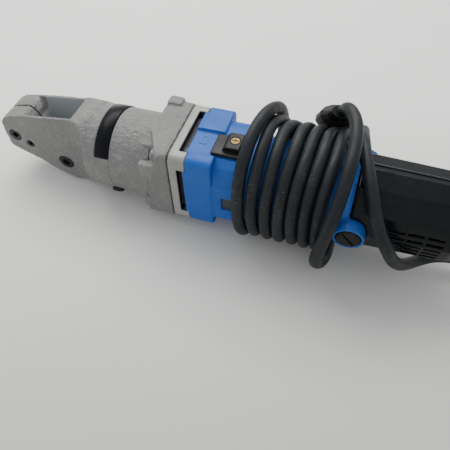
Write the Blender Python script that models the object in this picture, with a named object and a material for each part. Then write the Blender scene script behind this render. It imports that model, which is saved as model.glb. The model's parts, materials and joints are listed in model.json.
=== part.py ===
"""Rebar cutter: in-line electro-hydraulic bar shear with a grinder type motor and its wound mains lead.

The tool lies along X: the cutting head points to -X, the motor and the cord guard to +X, +Z is up.
Sizes are in millimetres and scaled to metres as each mesh is made. X = 0 is the joint between the
hydraulic casting and the gear housing; the tool_frame empty then moves the middle of the tool to the
world origin.
"""
import math

import bmesh
import bpy
from mathutils import Matrix, Vector

MM = 0.001
GAP = 0.3                     # between touching pieces
ROUND = 32                    # segments of a large turned piece
SMALL = 14                    # segments of a small turned piece

FRAME_SHIFT = -51.0           # moves the middle of the tool to the world origin

# Cutting head
NOSE_X = -190.0
HEAD_BACK_X = -62.0
CHEEK_Y = 18.0                # half thickness of the slab
BARREL_R = 40.0
WINDOW_BACK_X = -106.0
WINDOW_FRONT_X = -150.0
WINDOW_HALF = 15.2            # inside, upper part
THROAT_HALF = 9.5             # inside, lower part
SLIT = 1.6
BLADE_Y = 8.0
BLADE_EDGE_X = -136.0
BLADE_BACK_X = -168.0
CLAMP_SCREW = (-178.0, 3.0)   # X and Z of the screws in the near cheek
SET_SCREW = (-163.5, -5.0)
GUIDE_SCREW = (-127.0, -21.0)
BAND_X = (-76.5, -62.5)
BAND_END_Z = 17.0             # where the band stops on both sides
KNOB_X = -66.0                # release valve in the collar
KNOB_TURN = -130.0            # its direction about X, from the far side
KNOB_R = 6.0
KNOB_END = 44.2               # distance of its face from the axis of the head

# Ram
RAM_R = 15.0
PISTON_R = 22.0
CYLINDER_R = 22.3
ROD_R = 12.0
TONGUE_HALF = 9.0
TONGUE_BACK_X = -82.0
RAM_TIP_X = -104.0
PISTON_X = (-56.0, -42.0)
MOVING_BLADE_X = (-116.0, -104.3)
MOVING_BLADE_BOLT = (0.0, 6.0)           # Y and Z of its screw
CYLINDER_END_X = -86.0
SPRING_WIRE_R = 0.8           # five coils of it close up in the 8.5 mm left at full stroke
SPRING_R = 17.6
SPRING_TURNS = 4

# Hydraulic casting
FLANGE_HALF = 40.0
FLANGE_X = (-27.0, -1.7)
BOLT_OFFSET = 33.0
BOLT_R = 3.0
BOLT_PLACES = [(y, z) for y in (-BOLT_OFFSET, BOLT_OFFSET) for z in (-BOLT_OFFSET, BOLT_OFFSET)]
FLANGE_CORNER = (-28.0, -6.0, 40.0)      # a point and the normal of the slanted near front corner
FLANGE_NORMAL = (-0.886, -0.429, 0.176)
BOLT_SEAT_X = -9.0
BOLT_HEAD = 8.6
BOLT_HEAD_R = 5.3
ECC_Z = -20.0
CAM_R = 8.0
CAM_OFFSET = 1.5
PLUNGER_X = -27.0
PLUNGER_R = 4.0

# Gears
WHEEL_TEETH = 32
PINION_TEETH = 8

# Motor
HOUSING_X = (15.0, 159.7)
LIP_LENGTH = 2.8              # lips of the motor housing that fill the back of the air slots
LIP_INNER = 34.4
SPIGOT_R = 33.9
COLLAR_BACK_X = 39.0
SECOND_BACK_X = 60.0
MOTOR_R = 38.0
MOTOR_BORE_R = 35.0
SHAFT_R = 4.0
BRUSH_X = 163.0
BRUSH_TILT = math.radians(5)
BRUSH_CAP_R = 11.2
CAP_SLOT_TURN = math.radians(-50)
BOSS_R = 13.6
BOSS_END = 47.5               # distance of the boss face from the motor axis

# Switch
CHANNEL_Y = (-26.0, 5.0)
CHANNEL_Z = 37.0
SWITCH_Y = -10.0

# Tail
TAIL_X = (160.0, 262.0)
TAIL_R = 39.5
TAIL_WALL = 3.2
TAIL_CORNERS = (              # angle from the far side and share of the mean radius, going down the far side
    (95, 1.03), (60, 1.03), (27, 1.03), (-4, 1.03), (-35, 1.07), (-65, 1.05), (-115, 1.05), (-145, 1.07),
    (-176, 1.03), (-207, 1.03), (-238, 1.03),
)
VENT_COLUMNS = 3
VENT_PITCH = (16.0, 6.6)
VENT_ROWS = 5

# Mains lead
CORD_D = 11.0
COIL_X = (75.2, 142.8)
COIL_R = (45.3, 56.0)
COIL_REST_Z = -54.8          # the turns flatten a little where the tool lies on them
GUARD_END_X = 292.0
LEAD_ROUTE = (
    (292.3, 0, 0), (306, 0, 0), (320, 0.5, -3), (332, 1.5, -12), (337.5, 3, -24.5), (334, 4, -37),
    (323, 4, -46), (309, 3, -50.5), (294, 1, -51.5), (279, -1, -51.5), (264, -3, -51), (246, -8, -50),
    (233, -17, -47.5), (222.5, -28.5, -41), (213.5, -39.5, -31.5), (206, -48, -19.5), (199.5, -54, -6),
    (193.5, -56.5, 7), (186.5, -54.5, 17.5), (179, -47, 29.5), (172.5, -34.5, 40.5), (165.5, -18, 48.7),
    (160, 0, 51.6), (157, 18, 49.5), (156, 34, 42.5), (155.5, 48.5, 34), (154.5, 58, 22),
    (153, 64.4, 8.5), (150.5, 67, -5), (144.5, 67.2, -15.5), (134.5, 66, -22), (122, 65, -26),
    (108, 64, -29.5), (95, 61.5, -34), (84, 56, -39.5), (76, 47.5, -44.8), (70.2, 37, -48.8),
    (69, 24, -49.3), (68.7, 10, -49.3), (68.8, -4, -49.3), (69, -17.5, -48.5), (69, -31, -42.5),
    (68.8, -41.5, -32), (68.1, -49, -18), (67, -51.5, -2.5), (66.1, -50.2, 13), (65.5, -45, 28),
    (65.6, -37, 41.8), (66.8, -25, 53.4), (68.6, -11, 60.6), (71.2, 4, 63.6), (74.6, 18.5, 62),
    (77.4, 31.5, 56), (79.2, 43, 46.8), (80.2, 52.5, 34), (80.5, 59, 20), (80.5, 62, 4.5),
)
END_ROUTE = (
    (148.8, 54.6, 2), (148.8, 53.5, -13), (148.8, 45.5, -28), (148.8, 32, -40.5), (148.8, 16, -48),
    (148.8, -1, -49.5), (148.8, -17.5, -49.5), (148.6, -33.5, -48.5), (145.6, -48, -43.5),
    (141.6, -57.5, -33.5), (140.4, -63, -20), (142, -63.8, -4), (144.5, -61, 13), (147.3, -53, 31.2),
    (149.3, -41, 46.5), (150.3, -26.5, 57), (150.6, -10.5, 63), (149.4, 5, 66.8), (146, 18, 69.2),
    (141.3, 27.6, 69), (137.6, 34, 66), (135.4, 38.135, 60.887), (134.5, 40.7, 57.3),
)
PLUG_PLACE = (134.5, 40.7, 57.3)          # where the lead enters the plug, and the way the plug points
PLUG_AXIS = (-0.2, 0.57, -0.797)
PLUG_LENGTH = 40.0
PLUG_R = 10.0
PLUG_WIDEN = 1.7                          # width of the plug over its thickness
PIN_LENGTH = 17.0
PIN_R = 2.3
PIN_SPACING = 9.5


# ---------------------------------------------------------------- helpers

def clear_scene():
    for thing in list(bpy.data.objects):
        bpy.data.objects.remove(thing, do_unlink=True)


def material(name, colour, roughness, metallic=0.0):
    made = bpy.data.materials.new(name)
    made.use_nodes = True
    shader = made.node_tree.nodes["Principled BSDF"]
    shader.inputs["Base Color"].default_value = (*colour, 1.0)
    shader.inputs["Roughness"].default_value = roughness
    shader.inputs["Metallic"].default_value = metallic
    return made


def to_object(name, mesh_builder, look=None):
    """Finishes a bmesh as an object, facing outwards, in metres."""
    bmesh.ops.recalc_face_normals(mesh_builder, faces=mesh_builder.faces)
    bmesh.ops.scale(mesh_builder, vec=(MM, MM, MM), verts=mesh_builder.verts)
    mesh = bpy.data.meshes.new(name)
    mesh_builder.to_mesh(mesh)
    mesh_builder.free()
    made = bpy.data.objects.new(name, mesh)
    bpy.context.scene.collection.objects.link(made)
    if look:
        mesh.materials.append(look)
    return made


def along(axis, u, v, t):
    """A point with t on the axis and u, v on the two others, in X, Y, Z order."""
    if axis == "X":
        return (t, u, v)
    if axis == "Y":
        return (u, t, v)
    return (u, v, t)


def add_prism(mesh_builder, outline, axis, low, high):
    ends = []
    for level in (low, high):
        ends.append([mesh_builder.verts.new(along(axis, u, v, level)) for u, v in outline])
    mesh_builder.faces.new(ends[0])
    mesh_builder.faces.new(ends[1])
    count = len(outline)
    for i in range(count):
        j = (i + 1) % count
        mesh_builder.faces.new((ends[0][i], ends[0][j], ends[1][j], ends[1][i]))


def prism(name, outline, axis, low, high, look=None):
    builder = bmesh.new()
    add_prism(builder, outline, axis, low, high)
    return to_object(name, builder, look)


def box_outline(low_u, high_u, low_v, high_v):
    return [(low_u, low_v), (high_u, low_v), (high_u, high_v), (low_u, high_v)]


def block(name, low, high, look=None):
    outline = box_outline(low[1], high[1], low[2], high[2])
    return prism(name, outline, "X", low[0], high[0], look)


def blocks(name, corner_pairs):
    """One cutter made of several boxes that stay apart."""
    builder = bmesh.new()
    for low, high in corner_pairs:
        add_prism(builder, box_outline(low[1], high[1], low[2], high[2]), "X", low[0], high[0])
    return to_object(name, builder)


def turned(name, profile, segments, look=None, axis="X", centre=(0.0, 0.0)):
    """Turns a closed profile of (station, radius) points about an axis through centre."""
    builder = bmesh.new()
    rings = []
    for station, radius in profile:
        if radius == 0:
            rings.append([builder.verts.new(along(axis, centre[0], centre[1], station))])
            continue
        ring = []
        for i in range(segments):
            angle = math.tau * (i + 0.5) / segments
            u = centre[0] + radius * math.cos(angle)
            v = centre[1] + radius * math.sin(angle)
            ring.append(builder.verts.new(along(axis, u, v, station)))
        rings.append(ring)
    for k in range(len(rings)):
        first = rings[k]
        second = rings[(k + 1) % len(rings)]
        if len(first) == 1 and len(second) == 1:
            continue
        for i in range(segments):
            j = (i + 1) % segments
            corners = [first[i % len(first)], first[j % len(first)]]
            corners += [second[j % len(second)], second[i % len(second)]]
            builder.faces.new(list(dict.fromkeys(corners)))
    return to_object(name, builder, look)


def rod(name, low, high, radius, segments, look=None, axis="X", centre=(0.0, 0.0)):
    profile = [(low, 0), (low, radius), (high, radius), (high, 0)]
    return turned(name, profile, segments, look, axis, centre)


def ring(name, low, high, inner, outer, segments, look=None, axis="X", centre=(0.0, 0.0)):
    profile = [(low, inner), (low, outer), (high, outer), (high, inner)]
    return turned(name, profile, segments, look, axis, centre)


def place(thing, frame):
    """Bakes a frame into an object's mesh."""
    thing.data.transform(frame)
    return thing


def arc(centre, radius, start, end, steps):
    """Points on an arc, with its angles in degrees."""
    points = []
    for i in range(steps + 1):
        angle = math.radians(start + (end - start) * i / steps)
        points.append((centre[0] + radius * math.cos(angle), centre[1] + radius * math.sin(angle)))
    return points


def rounded_square(half, radius, steps=4):
    inner = half - radius
    points = []
    for quarter, (u, v) in enumerate(((inner, inner), (-inner, inner), (-inner, -inner), (inner, -inner))):
        points += arc((u, v), radius, 90 * quarter, 90 * quarter + 90, steps)
    return points


def chamfered_square(half, chamfer):
    near = half - chamfer
    return [(half, -near), (half, near), (near, half), (-near, half),
            (-half, near), (-half, -near), (-near, -half), (near, -half)]


def toothed(teeth, pitch_r, outer_r, root_r, phase):
    """Outline of a spur gear with straight flanks."""
    step = math.tau / teeth
    outline = []
    for i in range(teeth):
        middle = phase + i * step
        root_half = 0.27 * step
        tip_half = 0.13 * step * pitch_r / outer_r
        flanks = ((root_r, -root_half), (outer_r, -tip_half), (outer_r, tip_half), (root_r, root_half))
        for radius, offset in flanks:
            outline.append((radius * math.cos(middle + offset), radius * math.sin(middle + offset)))
    return outline


def boolean(target, other, operation):
    """Joins, cuts or intersects target with a helper that isn't itself a part."""
    other.hide_render = True
    other.display_type = "WIRE"
    step = target.modifiers.new(f"{operation.lower()} {other.name}", "BOOLEAN")
    step.operation = operation
    step.solver = "EXACT"
    step.object = other
    return target


def cut(target, other):
    return boolean(target, other, "DIFFERENCE")


def join(target, other):
    return boolean(target, other, "UNION")


def keep_common(target, other):
    return boolean(target, other, "INTERSECT")


def slanted_cutter(name, point, normal):
    """A large block on the outer side of the plane through point."""
    slab = block(name, (0, -60, -60), (60, 60, 60))
    turn = Vector(normal).to_track_quat("X", "Z").to_matrix().to_4x4()
    return place(slab, Matrix.Translation(Vector(point) * MM) @ turn)


def soften(target, width, segments=1):
    """Rounds the edges of a plain solid before it is cut."""
    bevel = target.modifiers.new("soft edges", "BEVEL")
    bevel.width = width * MM
    bevel.segments = segments
    bevel.limit_method = "ANGLE"
    bevel.angle_limit = math.radians(35)
    return target


def hex_key(name, centre, face_y, depth, across):
    """Cutter for a hexagon socket in a screw head that faces -Y."""
    outline = arc(centre, across / math.sqrt(3), 0, 300, 5)
    return prism(name, outline, "Y", face_y - 1, face_y + depth)


# ---------------------------------------------------------------- cutting head

def nose_outline():
    """Side view of the head, from the collar along the top, round the nose and back underneath."""
    top = [(HEAD_BACK_X, 47.0), (-96.0, 40.0), (-161.0, 30.8), (-177.0, 27.2)]
    nose = [(-183.5, 23.8), (-188.2, 17.5), (-190.0, 9.0), (-190.0, -5.5), (-187.5, -12.0), (-181.0, -15.6)]
    under = [(-159.0, -24.6), (-137.0, -37.0), (-112.0, -45.2), (-96.0, -48.0), (HEAD_BACK_X, -52.0)]
    return top + nose + under


def plan_outline():
    """Plan view of the head: slab, flare and collar, mirrored about the middle plane."""
    flare = arc((-112.0, CHEEK_Y + 26.0), 26.0, 270, 318, 4)
    nose = [(NOSE_X, CHEEK_Y - 2.0), (NOSE_X + 2.5, CHEEK_Y)]
    side = nose + flare + [(-84.0, 38.0), (-79.0, 42.0), (HEAD_BACK_X, 42.0)]
    return side + [(x, -y) for x, y in reversed(side)]


def make_head_casting(look):
    head = prism("head_casting", nose_outline(), "Y", -46, 46, look)
    keep_common(head, prism("head_plan", plan_outline(), "Z", -70, 70))
    envelope = [(-200, 0), (-200, 52), (-125, 48), (-104, 43.4), (-86, BARREL_R + 0.4), (-80, BARREL_R),
                (HEAD_BACK_X, BARREL_R), (HEAD_BACK_X, 32.7), (-40.5, 32.7), (-40.5, 0)]
    rear = [(-90.0, 0), (-90.0, 38.5), (-80, BARREL_R), (HEAD_BACK_X, BARREL_R), (HEAD_BACK_X, 32.7),
            (-44.0, 32.7), (-44.0, 0)]
    keep_common(head, turned("head_envelope", envelope, ROUND))
    join(head, turned("head_collar", rear, ROUND))
    bore = [(-110, 0), (-110, RAM_R + GAP), (CYLINDER_END_X, RAM_R + GAP), (CYLINDER_END_X, CYLINDER_R),
            (-40, CYLINDER_R), (-40, 0)]
    ramp = [(-162.5, 60.0), (-162.5, 31.2), (-158.5, 28.8), (-154.5, 24.3), (-151.3, 16.5)]
    window = ramp + [(WINDOW_FRONT_X, 7.0), (WINDOW_FRONT_X, -1.0)]
    window += [(WINDOW_BACK_X, -1.0), (WINDOW_BACK_X, 60.0)]
    throat = [(WINDOW_FRONT_X, 0), (WINDOW_FRONT_X, -60), (WINDOW_BACK_X, -60), (WINDOW_BACK_X, 0)]
    cut(head, turned("ram_bore", bore, ROUND))
    cut(head, prism("window_cut", window, "Y", -WINDOW_HALF, WINDOW_HALF))
    cut(head, prism("throat_cut", throat, "Y", -THROAT_HALF, THROAT_HALF))
    seat_y = BLADE_Y + GAP
    cut(head, block("blade_seat", (BLADE_BACK_X - GAP, -seat_y, -16.5), (WINDOW_FRONT_X + 1, seat_y, 0.1)))
    cut(head, block("nose_slit", (NOSE_X - 2, -SLIT / 2, -60), (WINDOW_FRONT_X + 2, SLIT / 2, 60)))
    for name, (x, z), head_r, depth, shank_r, far in (
        ("clamp_hole", CLAMP_SCREW, 6.7, 8.6, 4.3, 12.0),
        ("set_hole", SET_SCREW, 4.3, 9.0, 4.3, -BLADE_Y),
        ("guide_hole", GUIDE_SCREW, 8.3, 6.2, 5.3, -BLADE_Y),
    ):
        step = -CHEEK_Y + depth
        profile = [(-60, 0), (-60, head_r), (step, head_r), (step, shank_r), (far, shank_r), (far, 0)]
        cut(head, turned(name, profile, SMALL, axis="Y", centre=(x, z)))
    groove = ring("band_groove", BAND_X[0], BAND_X[1] + 0.4, BARREL_R - 1.5, BARREL_R + 5, ROUND)
    keep_common(groove, block("band_half", (-90, -60, BAND_END_Z), (-50, 60, 60)))
    cut(head, groove)
    cut(head, place(rod("release_valve_hole", 34, 60, 4.3, SMALL), knob_frame()))
    return head


def knob_frame():
    """Frame at the release valve with X pointing outwards, down on the near side."""
    turn = Matrix.Rotation(math.radians(KNOB_TURN), 4, "X") @ Matrix.Rotation(math.radians(90), 4, "Z")
    return Matrix.Translation((KNOB_X * MM, 0, 0)) @ turn


def make_release_knob(look):
    stem = [(35.0, 0), (35.0, 4.0), (BARREL_R + 0.7, 4.0)]
    grip = [(BARREL_R + 0.7, KNOB_R), (KNOB_END - 0.8, KNOB_R), (KNOB_END, KNOB_R - 0.8), (KNOB_END, 0)]
    knob = place(turned("release_valve_knob", stem + grip, SMALL, look), knob_frame())
    cut(knob, place(blocks("knob_grip", [((KNOB_END - 1.4, -9, -1), (KNOB_END + 1, 9, 1))]), knob_frame()))


def make_collar_band(look):
    """Flat rubber band over the top of the collar."""
    band = ring("collar_band", BAND_X[0] + GAP, BAND_X[1], BARREL_R - 1.2, BARREL_R + 0.7, ROUND, look)
    return keep_common(band, block("band_cutoff", (-90, -60, BAND_END_Z + GAP), (-50, 60, 60)))


def make_fixed_blade(look):
    blade = block("fixed_blade", (BLADE_BACK_X, -BLADE_Y, -16.2), (BLADE_EDGE_X, BLADE_Y, -GAP), look)
    return soften(blade, 0.4)


def screw_to_near(name, place, face_y, head_r, head_length, shank_r, end_y, across, look):
    """Hexagon socket screw whose head faces -Y."""
    seat_y = face_y + head_length
    profile = [(face_y, 0), (face_y, head_r - 0.7), (face_y + 0.7, head_r), (seat_y, head_r),
               (seat_y, shank_r), (end_y, shank_r), (end_y, 0)]
    made = turned(name, profile, SMALL, look, "Y", place)
    return cut(made, hex_key(f"{name}_socket", place, face_y, head_length * 0.55, across))


def make_head_screws(look):
    screw_to_near("nose_clamp_screw", CLAMP_SCREW, -17.2, 6.4, 7.5, 4.0, 11.7, 6.0, look)
    screw_to_near("guide_screw", GUIDE_SCREW, -17.6, 8.0, 5.5, 5.0, -THROAT_HALF + GAP, 8.0, look)
    x, z = SET_SCREW
    grub = rod("blade_set_screw", -16.8, -BLADE_Y - GAP * 2, 4.0, SMALL, look, "Y", (x, z))
    cut(grub, hex_key("set_screw_socket", SET_SCREW, -16.8, 3.2, 4.0))


def make_ram(look):
    front = RAM_TIP_X
    low, high = PISTON_X
    nose = [(front, 0), (front, RAM_R - 1), (front + 1, RAM_R), (-72, RAM_R), (-72, ROD_R), (low, ROD_R)]
    groove = [(-52, PISTON_R), (-52, PISTON_R - 2.4), (-48, PISTON_R - 2.4), (-48, PISTON_R)]
    piston = [(low, PISTON_R)] + groove + [(high, PISTON_R), (high, 0)]
    ram = turned("ram", nose + piston, ROUND, look)
    for side in (-1, 1):
        inner, outer = sorted((side * TONGUE_HALF, side * 20))
        cut(ram, block(f"tongue_flat_{side}", (front - 1, inner, -20), (TONGUE_BACK_X, outer, 20)))
    cut(ram, rod("ram_tapped_hole", front - 1, front + 13, 2.9, SMALL, centre=MOVING_BLADE_BOLT))


def make_piston_seal(look):
    ring("piston_seal", -51.7, -48.3, PISTON_R - 2.1, PISTON_R + 0.05, ROUND, look)


def make_moving_blade(look):
    low, high = MOVING_BLADE_X
    blade = block("moving_blade", (low, -BLADE_Y - 1, 0.2), (high, BLADE_Y + 1, 12.0), look)
    hole = [(low - 1, 0), (low - 1, 4.6), (low + 5, 4.6), (low + 5, 2.9), (high + 1, 2.9), (high + 1, 0)]
    cut(blade, turned("moving_blade_hole", hole, SMALL, centre=MOVING_BLADE_BOLT))


def make_blade_screw(look):
    low = MOVING_BLADE_X[0]
    end = RAM_TIP_X + 12
    profile = [(low + 0.4, 0), (low + 0.4, 4.3), (low + 4.7, 4.3), (low + 4.7, 2.6), (end, 2.6), (end, 0)]
    screw = turned("moving_blade_screw", profile, SMALL, look, centre=MOVING_BLADE_BOLT)
    outline = arc(MOVING_BLADE_BOLT, 2.3, 0, 300, 5)
    cut(screw, prism("moving_blade_socket", outline, "X", low - 1, low + 3))


def make_coil_spring(name, centre_line, hub, axis, wire_r, sides, look):
    """A wire of round section along a list of points round an axis through hub, closed at both ends."""
    builder = bmesh.new()
    rings = []
    last = len(centre_line) - 1
    for i, point in enumerate(centre_line):
        tangent = (centre_line[min(i + 1, last)] - centre_line[max(i - 1, 0)]).normalized()
        radial = (point - hub) - axis * (point - hub).dot(axis)
        radial = (radial - tangent * radial.dot(tangent)).normalized()
        side = tangent.cross(radial)
        loop = []
        for k in range(sides):
            angle = math.tau * k / sides
            outward = math.cos(angle) * radial + math.sin(angle) * side
            loop.append(builder.verts.new(point + wire_r * outward))
        rings.append(loop)
    for first, second in zip(rings, rings[1:]):
        for k in range(sides):
            j = (k + 1) % sides
            builder.faces.new((first[k], first[j], second[j], second[k]))
    builder.faces.new(rings[0])
    builder.faces.new(rings[-1])
    return to_object(name, builder, look)


def helix_x(start, end, radius, turns, steps):
    points = []
    for i in range(turns * steps + 1):
        share = i / (turns * steps)
        angle = math.tau * turns * share
        x = start + (end - start) * share
        points.append(Vector((x, radius * math.cos(angle), radius * math.sin(angle))))
    return points


def helix_z(start, end, radius, turns, steps):
    points = []
    for i in range(turns * steps + 1):
        share = i / (turns * steps)
        angle = math.tau * turns * share
        x = PLUNGER_X + radius * math.cos(angle)
        points.append(Vector((x, radius * math.sin(angle), start + (end - start) * share)))
    return points


def make_return_spring(look):
    start = CYLINDER_END_X + SPRING_WIRE_R + GAP
    end = PISTON_X[0] - SPRING_WIRE_R - GAP
    line = helix_x(start, end, SPRING_R, SPRING_TURNS, 14)
    make_coil_spring("return_spring", line, Vector(), Vector((1, 0, 0)), SPRING_WIRE_R, 5, look)


# ---------------------------------------------------------------- hydraulic casting

def make_pump_casting(look):
    front = HEAD_BACK_X + GAP
    body = [(front, 0), (front, BARREL_R - 0.4), (front + 0.6, BARREL_R), (-23, BARREL_R), (-23, 0)]
    casting = turned("pump_casting", body, ROUND, look)
    flange = prism("pump_flange", rounded_square(FLANGE_HALF, 6.0), "X", *FLANGE_X)
    soften(flange, 1.0, 2)
    cut(flange, slanted_cutter("flange_corner_cut", FLANGE_CORNER, FLANGE_NORMAL))
    join(casting, flange)
    pad = [(-6.0, 30.0), (-24.5, 25.0), (-24.5, 33.4), (-8.5, 40.4), (-6.0, 40.4)]
    join(casting, prism("pump_pad", pad, "X", -30.8, -20))
    belly = prism("casting_belly", rounded_square(FLANGE_HALF, 6.0), "X", -52, FLANGE_X[0] + 1)
    flare = [(-53, 0), (-53, 39), (-40, 41.5), (FLANGE_X[0] + 2, 47), (FLANGE_X[0] + 2, 0)]
    keep_common(belly, turned("belly_flare", flare, ROUND))
    keep_common(belly, block("belly_lower_half", (-60, -60, -60), (0, 60, -5)))
    join(casting, belly)
    join(casting, soften(block("filler_lug", (-26.5, 28, 30), (-11.5, 39.8, 43)), 2.0, 2))
    seat = [(front - 1, 0), (front - 1, 33.0), (-43.7, 33.0), (-43.7, CYLINDER_R), (-40, CYLINDER_R), (-40, 0)]
    cut(casting, turned("spigot_seat", seat, ROUND))
    chamber = [(-34, 0), (-34, 11.5), (-21, 11.5), (-21, 9.2), (-15, 9.2), (-15, 18.6), (0, 18.6), (0, 0)]
    cut(casting, turned("eccentric_chamber", chamber, ROUND, centre=(0.0, ECC_Z)))
    cut(casting, rod("pinion_chamber", -15, 0, 12.0, SMALL))
    cut(casting, rod("plunger_bore", -14, 24, PLUNGER_R + GAP, SMALL, axis="Z", centre=(PLUNGER_X, 0.0)))
    cut(casting, rod("oil_way", -41, PLUNGER_X, 1.5, 12, centre=(0.0, 16.0)))
    for number, centre in enumerate(BOLT_PLACES, 1):
        cut(casting, rod(f"flange_hole_{number}", -40, 0, BOLT_R + GAP, SMALL, centre=centre))
        cut(casting, rod(f"bolt_relief_{number}", -60, BOLT_SEAT_X, BOLT_HEAD_R + GAP, SMALL, centre=centre))


def make_gasket(look):
    outline = rounded_square(FLANGE_HALF - 0.6, 6.0)
    gasket = prism("flange_gasket", outline, "X", FLANGE_X[1] + GAP, -GAP, look)
    cut(gasket, prism("gasket_hole", chamfered_square(28.0, 4.0), "X", -5, 5))
    for number, centre in enumerate(BOLT_PLACES, 1):
        cut(gasket, rod(f"gasket_bolt_{number}", -5, 5, BOLT_R + GAP, SMALL, centre=centre))


def make_flange_bolts(look):
    seat = BOLT_SEAT_X - GAP
    face = seat - BOLT_HEAD
    profile = [(face, 0), (face, BOLT_HEAD_R - 0.6), (face + 0.6, BOLT_HEAD_R), (seat, BOLT_HEAD_R),
               (seat, BOLT_R), (26, BOLT_R), (26, 0)]
    for number, centre in enumerate(BOLT_PLACES, 1):
        bolt = turned(f"flange_bolt_{number}", profile, SMALL, look, centre=centre)
        outline = arc(centre, 2.9, 0, 300, 5)
        cut(bolt, prism(f"flange_socket_{number}", outline, "X", face - 1, face + 3.0))


def make_pump_set(steel, spring_steel, bronze):
    cam_z = ECC_Z - CAM_OFFSET
    shaft = rod("eccentric_shaft", -32.5, -2.4, 5.0, SMALL, steel, centre=(0.0, ECC_Z))
    join(shaft, rod("cam", -32.0, -22.0, CAM_R, SMALL, centre=(0.0, cam_z)))
    ring("eccentric_bearing", -20.7, -15.3, 5.3, 8.9, SMALL, bronze, centre=(0.0, ECC_Z))
    rod("pump_plunger", -9.8, 8.0, PLUNGER_R, SMALL, steel, "Z", (PLUNGER_X, 0.0))
    line = helix_z(9.4, 22.4, 2.9, 4, 8)
    make_coil_spring("plunger_spring", line, Vector((PLUNGER_X, 0, 0)), Vector((0, 0, 1)), 0.7, 4, spring_steel)


def make_drive_gear(look):
    outline = toothed(WHEEL_TEETH, 16.0, 16.7, 14.6, math.radians(90 + 180 / WHEEL_TEETH))
    builder = bmesh.new()
    add_prism(builder, [(y, z + ECC_Z) for y, z in outline], "X", -12.6, -4.6)
    gear = to_object("drive_gear", builder, look)
    cut(gear, rod("gear_bore", -20, 5, 5.3, SMALL, centre=(0.0, ECC_Z)))


# ---------------------------------------------------------------- gear housing and motor

def make_gear_housing(look):
    housing = prism("gear_housing", rounded_square(FLANGE_HALF - 0.4, 7.0), "X", 0, HOUSING_X[0] - GAP, look)
    soften(housing, 0.5)
    cut(housing, prism("fan_chamber", chamfered_square(34.0, 9.0), "X", 5.5, 20))
    cut(housing, rod("front_bearing_seat", -5, 10, 9.2, SMALL))
    cut(housing, blocks("air_slots", [
        ((6.6, -28, 30), (20, 28, 60)), ((6.6, -28, -60), (20, 28, -30)),
    ]))
    cut(housing, blocks("side_air_slots", [
        ((6.6, -60, -28), (20, -30, 26)), ((6.6, 30, -28), (20, 60, 26)),
    ]))
    for number, centre in enumerate(BOLT_PLACES, 1):
        cut(housing, rod(f"housing_hole_{number}", -5, 20, BOLT_R + GAP, SMALL, centre=centre))


def make_fan_shroud(look):
    shroud = prism("fan_shroud", chamfered_square(33.7, 9.0), "X", 5.8, 14.4, look)
    cut(shroud, rod("shroud_bore", 0, 20, 30.5, ROUND))


def make_motor_housing(look):
    start, end = HOUSING_X
    wall = [(SECOND_BACK_X - 1, 0), (SECOND_BACK_X - 1, MOTOR_R), (147, MOTOR_R), (148, TAIL_R - 0.3),
            (end, TAIL_R - 0.3), (end, SPIGOT_R), (184, SPIGOT_R), (184, 12.5), (194, 12.5), (194, 0)]
    housing = turned("motor_housing", wall, ROUND, look)
    collar = prism("collar", rounded_square(FLANGE_HALF, 7.0), "X", start, COLLAR_BACK_X)
    join(housing, soften(collar, 1.2, 2))
    second = prism("second_section", rounded_square(37.6, 20.0), "X", COLLAR_BACK_X - 1.5, SECOND_BACK_X)
    join(housing, soften(second, 1.0))
    low, high = start - LIP_LENGTH, start + 1
    for side in (-1, 1):
        inner, outer = sorted((side * LIP_INNER, side * (FLANGE_HALF - 0.4)))
        join(housing, block(f"lip_z_{side}", (low, -27.6, inner), (high, 27.6, outer)))
        join(housing, block(f"lip_y_{side}", (low, inner, -27.6), (high, outer, 25.6)))
    for side in (-1, 1):
        inner, outer = sorted((side * 30, side * 39))
        join(housing, soften(block(f"side_block_{side}", (37.5, inner, -27), (59.4, outer, 15.5)), 0.8))
        inner, outer = sorted((side * 36.4, side * 45))
        cut(housing, block(f"side_window_{side}", (47.5, inner, -14.0), (58.2, outer, 1.5)))
    for name, frame in zip(("near", "far"), brush_frames()):
        join(housing, place(rod(f"brush_boss_{name}", 30, BOSS_END, BOSS_R, ROUND), frame))
    bore = [(10, 0), (10, MOTOR_BORE_R), (146, MOTOR_BORE_R), (146, 31), (180, 31)]
    bearing_seat = [(180, 9.2), (198, 9.2), (198, 0)]
    cut(housing, turned("motor_bore", bore + bearing_seat, ROUND))
    cap_r = BRUSH_CAP_R + GAP
    hole = [(20, 0), (20, 8.5), (43.2, 8.5), (43.2, cap_r), (60, cap_r), (60, 0)]
    for name, frame in zip(("near", "far"), brush_frames()):
        cut(housing, place(turned(f"brush_hole_{name}", hole, SMALL), frame))
    cut(housing, block("switch_channel", (10, CHANNEL_Y[0], CHANNEL_Z), (64, CHANNEL_Y[1], 60)))
    cut(housing, block("switch_slot", (36, -14.3, 30), (58, -5.7, 50)))
    cut(housing, block("rod_passage", (140, -14.2, 28.6), (190, -5.8, 31.9)))
    for number, centre in enumerate(BOLT_PLACES, 1):
        cut(housing, rod(f"motor_hole_{number}", 5, 27, BOLT_R + GAP, SMALL, centre=centre))


def brush_frames():
    """Two frames at the commutator with X pointing outwards along each brush."""
    frames = []
    for side in (-1, 1):
        outward = Vector((0, side * math.cos(BRUSH_TILT), side * math.sin(BRUSH_TILT)))
        lengthwise = Vector((1, 0, 0))
        across = outward.cross(lengthwise)
        turn = Matrix((outward, lengthwise, across)).transposed().to_4x4()
        frames.append(Matrix.Translation((BRUSH_X * MM, 0, 0)) @ turn)
    return frames


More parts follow.
